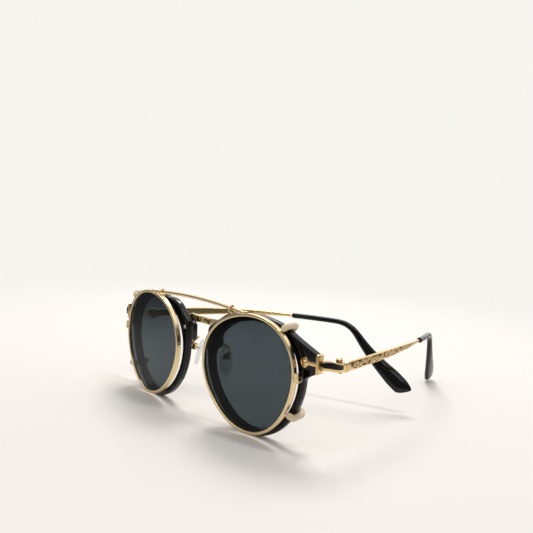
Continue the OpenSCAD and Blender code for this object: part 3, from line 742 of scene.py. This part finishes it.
def make_temple(s, side):
    """The bar, engraved on its outer face with painted shade in the cuts, that runs out into the wire
    inside the tip.
    """
    last = int(np.searchsorted(RUN, CORE_LEN))
    keep = [i for i in range(last) if SIDE_PTS[i, 0] < ENGRAVED_LEN + 6 or i % 4 == 0]
    flat = np.sin(np.linspace(-1, 1, FACE_ROWS) * FACE_SPREAD) / math.sin(FACE_SPREAD)
    edge = np.clip((TEMPLE_BORDER - abs(flat)) / TEMPLE_FADE, 0, 1)
    back = slice(-2, 0, -1)
    rings, groove_shades = [], []
    for q in SIDE_PTS[keep, 0]:
        w, h = bar_size(q)
        face = clamp(h - CARVED_H)
        power = 2 + 1.3 * face
        x, y = w / 2 * (1 - abs(flat) ** power) ** (1 / power), h / 2 * flat
        here = min(clamp((q - CARVED_FROM) / CARVED_OVER), clamp((ENGRAVED_LEN + 2 - q) / 2)) * face
        cut = here * edge * scroll(q, y)
        outer = np.minimum(RELIEF * cut - x, 0.0)
        rings.append(list(zip(x, y)) + list(zip(outer[back], y[back])))
        groove_shades += [0.0] * len(x) + list(cut[back])
    body = f"{side}_temple"
    path = temple_pt(*SIDE_PTS[keep].T)
    bar = loft(f"{side}_temple_bar", at_hinge(path_rings(path, rings), s), ENGRAVED, body, [body],
               smooth=60)
    add_groove_shade(bar, groove_shades)


BARREL_D, BARREL_H = 3.0, 4.4
BARREL_EDGE = 0.12
BORE_D = 1.36
HINGE_PLAY = 0.08
EYE_H = BARREL_H / 3 - 2 * HINGE_PLAY
WEB_FROM, WEB_BACK, WEB_W = 0.9, 0.95, 1.1


def make_eye(s, side):
    """The temple's barrel end between the arm's two, with the web that carries it."""
    r, bore, e, h = BARREL_D / 2, BORE_D / 2, BARREL_EDGE, EYE_H / 2
    profile = np.array([(bore, -h), (r - e, -h), (r, e - h), (r, h - e), (r - e, h), (bore, h)])
    eye = polar(np.arange(0, 360, 7.5)[:, None], profile[:, 0], profile[:, 1])
    web = np.array([[(x, WEB_BACK + y, z) for y, z in oval_section(WEB_W, EYE_H, 16, 6)]
                    for x in (WEB_FROM, ARM_X)])
    body = f"{side}_temple"
    loft(f"{side}_temple_eye", at_hinge(eye @ AXIS_TURN.T, s), GOLD, body, loop=True)
    loft(f"{side}_temple_web", at_hinge(web @ AXIS_TURN.T, s), GOLD, body)


# Distances back and how much the collar stands out there
COLLAR = ((0.1, 0.0), (0.35, 0.14), (1.0, 0.14), (1.2, 0.02), (1.5, 0.02), (1.7, 0.14), (2.0, 0.14),
          (2.2, 0.0))


def make_collar(s, side):
    """The small raised band round the front end of a temple's bar."""
    rings, path = [], []
    for q, grow in COLLAR:
        w, h = bar_size(q)
        rings.append(oval_section(w + 2 * grow, h + 2 * grow, 32, 5))
        path.append(temple_pt(q, level_h(q)))
    loft(f"{side}_temple_collar", at_hinge(path_rings(path, rings), s), GOLD, f"{side}_temple")


WIDEN_FROM, WIDEN_OVER, WIDEN_POWER = 4.0, 36.0, 1.45
TABLE_GAP = 0.1
TIP_END = 5.4
TIP_SHIFT = 0.3


def make_tip(s, side):
    """A tip that widens behind its bend, with its end cut level with the table."""
    first = int(np.searchsorted(SIDE_PTS[:, 0], TIP_START))
    keep = [i for i in range(first, len(RUN)) if i % 2 == 0 or i < first + 6 or i > len(RUN) - 12]
    rings = []
    for (q, h), run in zip(SIDE_PTS[keep], RUN[keep]):
        t = clamp((run - WIDEN_FROM) / WIDEN_OVER) ** WIDEN_POWER
        high = (TIP_D + (PADDLE_W - TIP_D) * t) / 2
        low = soft_min([high, (HINGE_Z + h - TABLE_GAP) / math.cos(radians(fall(run)))], 1.5)
        ending, start = clamp((RUN[-1] - run) / TIP_END), clamp((q - TIP_START) / 0.5)
        f = math.sqrt(max(0.02, 1 - (1 - ending) ** 2)) * (0.9 + 0.1 * start)
        tall = (high + low) * f
        sec = oval_section((TIP_D + (PADDLE_T - TIP_D) * t) * f, tall, 36, 2.2)
        sec = sec + [0, (high - low) / 2 + TIP_SHIFT * (high + low - tall) / 2]
        turn = radians(PADDLE_TURN * ease(run / WIDEN_OVER))
        cos, sin = math.cos(turn), math.sin(turn)
        rings.append(sec @ np.array([[cos, sin], [-sin, cos]]))
    path = temple_pt(*SIDE_PTS[keep].T)
    loft(f"{side}_tip_fine", at_hinge(path_rings(path, rings), s), ACETATE, f"{side}_temple",
         [f"{side}_temple_tip"])


ARM_BACK = -0.1
ARM_BULGE = 0.9
NOSE_LOW, NOSE_HIGH = -0.65, 1.15
NOSE_BACK = 0.9
NOSE_DEEP = 0.12
NOSE_PROUD = 0.04
NOSE_ROUND = 0.2
NOSE_SHORT = 0.25


def make_nose(s, side):
    """The front end of a hinge arm's inlay, round the arm's outer corner."""
    start = front_pt((CAP_REACH + SEAT_GAP + ARM_T / 2, END_Z, ARM_BACK))
    along = HINGE + [ARM_X, 0, 0] - start + [ARM_BULGE * math.pi, 0, 0]
    ahead = -unit([along[0], along[1], 0.0])
    axes = np.array([(-ahead[1], ahead[0], 0.0), ahead, (0.0, 0.0, 1.0)])
    x, y = ARM_T / 2 + NOSE_PROUD, NOSE_PROUD
    inner, short = ARM_T / 2 - NOSE_DEEP, NOSE_SHORT - ARM_T / 2
    outline = ([(inner, -NOSE_BACK), (x, -NOSE_BACK)]
               + arc(x - NOSE_ROUND, y - NOSE_ROUND, NOSE_ROUND, 0, 90, 4)
               + [(short, y), (short, -NOSE_DEEP), (inner, -NOSE_DEEP)])
    plate(f"{side}_arm_nose", outline, NOSE_LOW, NOSE_HIGH, 0.03, lambda p: start + p @ axes, s,
          INLAY_AND_PAINTED_REFLECTION, "front")


for s, side in SIDES:
    make_temple(s, side)
    make_eye(s, side)
    make_collar(s, side)
    make_tip(s, side)
    make_nose(s, side)

# Sun clip
BLOCK_TURN = 7.0
SPLIT = 0.35
WIRE_EDGE = 0.3
DOTS = 100
DOT_DEEP = 0.03
# Share of painted shade in the dots of the clip rims
DOT_SHADE = 0.3
DOT_ROWS = (0.22, 0.36, 0.5, 0.64, 0.78)


def eyewire_profile(a):
    """Points round a clip rim's section at direction a, and the share of painted shade each gets in the
    dots.
    """
    w, d, e = WIRE_W, WIRE_DEPTH, WIRE_EDGE
    mid, half = -d / 2, SUN_T / 2 + SEAT_GAP
    front = ([(0, mid - half), (LENS_SEAT, mid - half), (LENS_SEAT, mid + half), (0, mid + half)]
             + arc(e, -e, e, 180, 90, 4) + arc(w - e, -e, e, 90, 0, 4))
    dots = [clamp(math.sin(math.radians(a * DOTS) + 2.2 * math.pi * row)) * (0.3 < row < 0.7)
            for row in DOT_ROWS]
    outer = [(w - DOT_DEEP * dot, -row * d) for dot, row in zip(dots, DOT_ROWS)]
    back = arc(w - e, e - d, e, 0, -90, 4) + arc(e, e - d, e, 270, 180, 4)
    groove_shades = [0.0] * len(front) + [DOT_SHADE * dot for dot in dots] + [0.0] * len(back)
    return front + outer + back, groove_shades


def make_eyewire(s, side):
    """A clip rim, split at its closing block, with fine dots round its outer face darkened by painted
    shade.
    """
    angles = BLOCK_TURN + np.linspace(SPLIT, 360 - SPLIT, 601)
    rows = [eyewire_profile(a) for a in angles]
    shape = np.array([points for points, _ in rows])
    rings = polar(angles[:, None], lens_r(angles)[:, None] + shape[..., 0], shape[..., 1])
    wire = loft(f"{side}_eyewire_fine", on_side(clip_pt(rings), s), ENGRAVED_PALE, "clip",
                [f"{side}_eyewire"], smooth=50)
    add_groove_shade(wire, [groove for _, groove_shades in rows for groove in groove_shades])


RING_TOP = float(lens_r(93)) + WIRE_W
BAR_Y = clip_pt((0, RING_TOP, 0))[1] - BAR_D / 2 - SEAT_GAP
BAR_Z = CLIP_Z + RING_TOP + 0.1
TAB_LEN, TAB_DEEP, TAB_H = 2.2, 1.7, 0.8
TAB_EDGE = 0.15
LOOP_X = 24.7
LOOP_D = 0.8


def bar_pt(x):
    return np.array([x, BAR_Y, BAR_Z + BAR_RISE * (1 - x * x / BAR_HALF ** 2)])


def make_bar():
    """The brow bar, with a flat tab behind each end."""
    path = np.array([bar_pt(x) for x in np.linspace(-BAR_HALF, BAR_HALF, 49)])
    tube("brow_bar_fine", path, BAR_D, (0, 0, 1), 1, PALE_GOLD, "clip", ["brow_bar"],
         rounded=True)
    end, flat = TAB_LEN / 2, TAB_LEN / 2 - TAB_EDGE
    y, z = BAR_Y + TAB_DEEP / 2, BAR_Z + SEAT_GAP + TAB_H / 2
    for s, side in SIDES:
        rings = [[(s * BAR_HALF + x, y + u, z + v) for u, v in oval_section(TAB_DEEP * f, TAB_H * f, 20, 5)]
                 for x, f in ((-end, 0.8), (-flat, 1.0), (flat, 1.0), (end, 0.8))]
        loft(f"{side}_bar_tab", on_side(rings, 1), PALE_GOLD, "clip")


def loop_path():
    """A wire loop that stands on the clip's rim and straddles the bar."""
    over = bar_pt(LOOP_X)
    reach = (BAR_D + LOOP_D) / 2 + 0.2
    foot = clip_pt((LOOP_X - LENS_X, math.sqrt(RING_TOP ** 2 - (LENS_X - LOOP_X) ** 2), -WIRE_DEPTH / 2))
    low = foot[2] + 0.55
    return curve([
        [LOOP_X, foot[1] - 0.6, low], [LOOP_X, over[1] - reach, low + 1.2],
        over + [0, -reach, 0], over + [0, 0, reach], over + [0, reach, 0],
        [LOOP_X, over[1] + reach, low + 1.2], [LOOP_X, foot[1] + 0.6, low],
    ], 10)


# A prong's path has this many steps between two bends; its wire ends 12 steps before its sleeve does
PRONG_STEPS = 10
PRONG_SHORT = 12
SLEEVE_FROM = 6
SLEEVE_FAT = 2.7
SLEEVE_OFF = 0.9


def prong_path(a):
    """A prong's path from the clip's rim over the acetate's, at direction a of the lens."""
    out = rim_r(a) - FRONT_DROP * math.sin(math.radians(a)) + SLEEVE_D / 2 + SOFT_GAP
    start, back = -WIRE_DEPTH / 2, -CLIP_GAP - FRONT_T
    deep = back - SLEEVE_D / 2 - SOFT_GAP
    edge = lens_r(a) + WIRE_W
    bends = [(edge + SEAT_GAP, start), (edge + SLEEVE_OFF, start), (out, start - 1.3), (out, back / 2),
             (out, back + 0.4), (out - 0.9, deep - 0.2), (out - 2.6, deep - 0.3), (out - 4.2, deep)]
    return clip_pt(curve([polar(a, r, z) for r, z in bends], PRONG_STEPS))


def make_prong(s, side, name, a):
    """A hooked wire, and the soft sleeve over all but its start."""
    path = prong_path(a if s > 0 else a - RIGHT_PRONG_TURN)
    across = unit(np.cross(path[1] - path[0], path[-1] - path[0]))
    tube(f"{side}_{name}_prong_fine", path[:-PRONG_SHORT], PRONG_D, across, s, PALE_GOLD,
         "clip", [f"{side}_{name}_prong"])
    tube(f"{side}_{name}_sleeve_fine", path[SLEEVE_FROM:], SLEEVE_FAT, across, s, SLEEVE,
         "clip", [f"{side}_{name}_sleeve"], rounded=True)


BLOCK_REACH = float(lens_r(BLOCK_TURN)) + WIRE_W + SEAT_GAP
BLOCK_D = 1.9
# Painted reflection: dark patches on the closing blocks' outer faces, where they reflect the black rim
REFLECTION_FROM = {"upper": 0.07, "lower": -1.5}
REFLECTION_W = 1.43
REFLECTION_LOW, REFLECTION_HIGH = -2.6, -0.4
REFLECTION_SUNK, REFLECTION_PROUD = 0.05, 0.03


def block_pt(p):
    """From the closing blocks' own directions, with x away from the lens, into the left side's."""
    a = math.radians(BLOCK_TURN)
    x, y = p[..., 0] + BLOCK_REACH, p[..., 1]
    return clip_pt(np.stack([x * math.cos(a) - y * math.sin(a), x * math.sin(a) + y * math.cos(a),
                             p[..., 2]], -1))


def make_block_painted_reflections(s, side):
    """A dark patch on the outer face of each half of a closing block: a painted reflection of the dark rim.
    """
    for name, low in REFLECTION_FROM.items():
        high = low + REFLECTION_W
        painted_reflection = [(low, REFLECTION_LOW), (high, REFLECTION_LOW), (high, REFLECTION_HIGH), (low, REFLECTION_HIGH)]
        plate(f"{side}_block_panel_{name}", painted_reflection, BLOCK_D - REFLECTION_SUNK, BLOCK_D + REFLECTION_PROUD, 0.02,
              lambda p: block_pt(p[..., [2, 0, 1]]), s, INLAY_AND_PAINTED_REFLECTION, "clip")


make_bar()
for s, side in SIDES:
    make_eyewire(s, side)
    make_block_painted_reflections(s, side)
    tube(f"{side}_bar_loop_fine", loop_path(), LOOP_D, (1, 0, 0), s, PALE_GOLD, "clip",
         [f"{side}_bar_loop"], sides=16)
    make_prong(s, side, "upper", UPPER_PRONG)
    make_prong(s, side, "lower", LOWER_PRONG)

# CAD nodes that are shown as they are, some with fine bevels
PLAIN = (
    (GOLD, ("left_pad_box", "right_pad_box", "left_hinge_arm", "right_hinge_arm", "left_hinge_screw",
            "right_hinge_screw", "end_cap_rivets")),
    (PALE_GOLD, ("left_closing_block", "right_closing_block", "closing_screws")),
    (INLAY_AND_PAINTED_REFLECTION, ("left_arm_inlay", "right_arm_inlay")),
    (SILVER, ("bridge_rivets",)),
)
BEVELS = {"closing_block": 0.1, "pad_box": 0.1, "hinge_arm": 0.12}


def dress_nodes():
    for mat, names in PLAIN:
        for name in names:
            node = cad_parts[name]
            node.data.materials.clear()
            node.data.materials.append(mat)
            shade(node, 30)
    for kind, width in BEVELS.items():
        for _, side in SIDES:
            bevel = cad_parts[f"{side}_{kind}"].modifiers.new("edges", "BEVEL")
            bevel.width = width * MM
            bevel.segments = 3
            bevel.limit_method = "ANGLE"
            bevel.harden_normals = True
            bevel.angle_limit = math.radians(50)


dress_nodes()

# Camera at the photo's place, found with the clip's lens centres 26.5 above the table
LENS_MM = 43.9
CAMERA_AT = Vector((225.605, -185.149 - ORIGIN_BACK, 97.959 + CLIP_Z - 26.5)) * MM
CAMERA_AZ, CAMERA_EL, CAMERA_ROLL = map(math.radians, (44.665, 5.679, 3.636))


def make_camera():
    back = Vector((math.sin(CAMERA_AZ) * math.cos(CAMERA_EL), -math.cos(CAMERA_AZ) * math.cos(CAMERA_EL),
                   math.sin(CAMERA_EL)))
    level = (-back).cross(Vector((0, 0, 1))).normalized()
    tall = level.cross(-back)
    right = level * math.cos(CAMERA_ROLL) + tall * math.sin(CAMERA_ROLL)
    above = tall * math.cos(CAMERA_ROLL) - level * math.sin(CAMERA_ROLL)
    camera = bpy.data.objects.new("camera", bpy.data.cameras.new("camera"))
    camera.data.lens = LENS_MM
    camera.data.sensor_width = 36.0
    camera.data.clip_start = 0.01
    turn = Matrix((right, above, back)).transposed()
    camera.matrix_world = Matrix.Translation(CAMERA_AT) @ turn.to_4x4()
    bpy.context.scene.collection.objects.link(camera)
    bpy.context.scene.camera = camera


make_camera()

# Floor, backdrop and light; distances are in metres
BACKDROP = (0.935, 0.91, 0.875)
FLOOR_COLOR = (0.90, 0.865, 0.83)
FLOOR_R = 3.0
FADE_FROM, FADE_TO = 0.14, 0.5
MIRROR_FROM, MIRROR_TO = 0.11, 0.32
ROOM_DIM = (0.25, 0.255, 0.26)
ROOM_SIDE = (-0.6, 0.8, 0.0)
CEILING_FROM, CEILING_TO = 0.5, 0.72
BEHIND_FROM, BEHIND_TO = 0.25, 0.55


def make_floor():
    """A floor whose colour runs into the backdrop's away from the object, and is dim in reflections."""
    bpy.ops.mesh.primitive_circle_add(vertices=96, radius=FLOOR_R, fill_type="NGON", location=(0, 0, 0))
    floor = bpy.context.object
    floor.name = "floor"
    m = material("floor", FLOOR_COLOR, rough=0.55, Specular_IOR_Level=0.25)
    tree = m.node_tree
    coord = add_node(tree, "ShaderNodeTexCoord")
    away = add_node(tree, "ShaderNodeVectorMath", {0: coord.outputs["Object"]},
                    operation="LENGTH").outputs["Value"]
    glow = add_node(tree, "ShaderNodeEmission", {"Color": (*BACKDROP, 1)})
    room = add_node(tree, "ShaderNodeEmission", {"Color": (*ROOM_DIM, 1)})
    ray = add_node(tree, "ShaderNodeLightPath")
    mirrored = add_node(tree, "ShaderNodeMath",
                        {0: ray.outputs["Is Glossy Ray"], 1: step(tree, away, MIRROR_FROM, MIRROR_TO)},
                        operation="MULTIPLY")
    surface = mixed(tree, step(tree, away, FADE_FROM, FADE_TO),
                    tree.nodes["Principled BSDF"].outputs["BSDF"], glow.outputs["Emission"])
    surface = mixed(tree, mirrored.outputs[0], surface, room.outputs["Emission"])
    tree.links.new(surface, tree.nodes["Material Output"].inputs["Surface"])
    floor.data.materials.append(m)


def make_world():
    """Soft light from all round. Reflections see a bright ceiling and backdrop and a dim room in front."""
    world = bpy.data.worlds.new("studio")
    bpy.context.scene.world = world
    world.use_nodes = True
    tree = world.node_tree

    def background(color, strength):
        values = {"Color": (*color, 1), "Strength": strength}
        return add_node(tree, "ShaderNodeBackground", values).outputs[0]

    def either(first, second):
        return add_node(tree, "ShaderNodeMath", {0: first, 1: second}, operation="MAXIMUM").outputs[0]

    soft = background((1.0, 0.985, 0.965), 0.5)
    seen = background(BACKDROP, 1.0)
    bright = background((1.0, 0.99, 0.975), 1.15)
    dim = background((0.97, 0.98, 1.0), 0.2)
    coord = add_node(tree, "ShaderNodeTexCoord")
    parts = add_node(tree, "ShaderNodeSeparateXYZ", {0: coord.outputs["Generated"]})
    room = add_node(tree, "ShaderNodeVectorMath", {0: coord.outputs["Generated"], 1: ROOM_SIDE},
                    operation="DOT_PRODUCT")
    lit = either(step(tree, parts.outputs["Z"], CEILING_FROM, CEILING_TO),
                 step(tree, room.outputs["Value"], BEHIND_FROM, BEHIND_TO))
    path = add_node(tree, "ShaderNodeLightPath")
    straight = either(path.outputs["Is Camera Ray"], path.outputs["Is Transmission Ray"])
    shader = mixed(tree, path.outputs["Is Glossy Ray"], soft, mixed(tree, lit, dim, bright))
    shader = mixed(tree, straight, shader, seen)
    tree.links.new(shader, tree.nodes["World Output"].inputs["Surface"])


def area_light(name, at, aim, size, power, color):
    data = bpy.data.lights.new(name, "AREA")
    data.shape = "RECTANGLE"
    data.size, data.size_y = size
    data.energy = power
    data.color = color
    lamp = bpy.data.objects.new(name, data)
    lamp.location = at
    lamp.rotation_euler = (Vector(aim) - Vector(at)).to_track_quat("-Z", "Y").to_euler()
    bpy.context.scene.collection.objects.link(lamp)


make_floor()
make_world()
area_light("overhead", (-0.35, 0.3, 0.8), (0, 0, 0.02), (0.34, 0.34), 4.0, (1.0, 0.98, 0.96))
area_light("top_strip", (0.22, 0.06, 0.95), (0, 0, 0.02), (0.07, 0.45), 1.7, (1.0, 0.99, 0.98))
area_light("front_strip", (0.5, -0.75, 0.6), (0, -0.03, 0.03), (0.5, 0.08), 0.5, (1.0, 0.98, 0.96))
bpy.context.scene.view_settings.view_transform = "Standard"
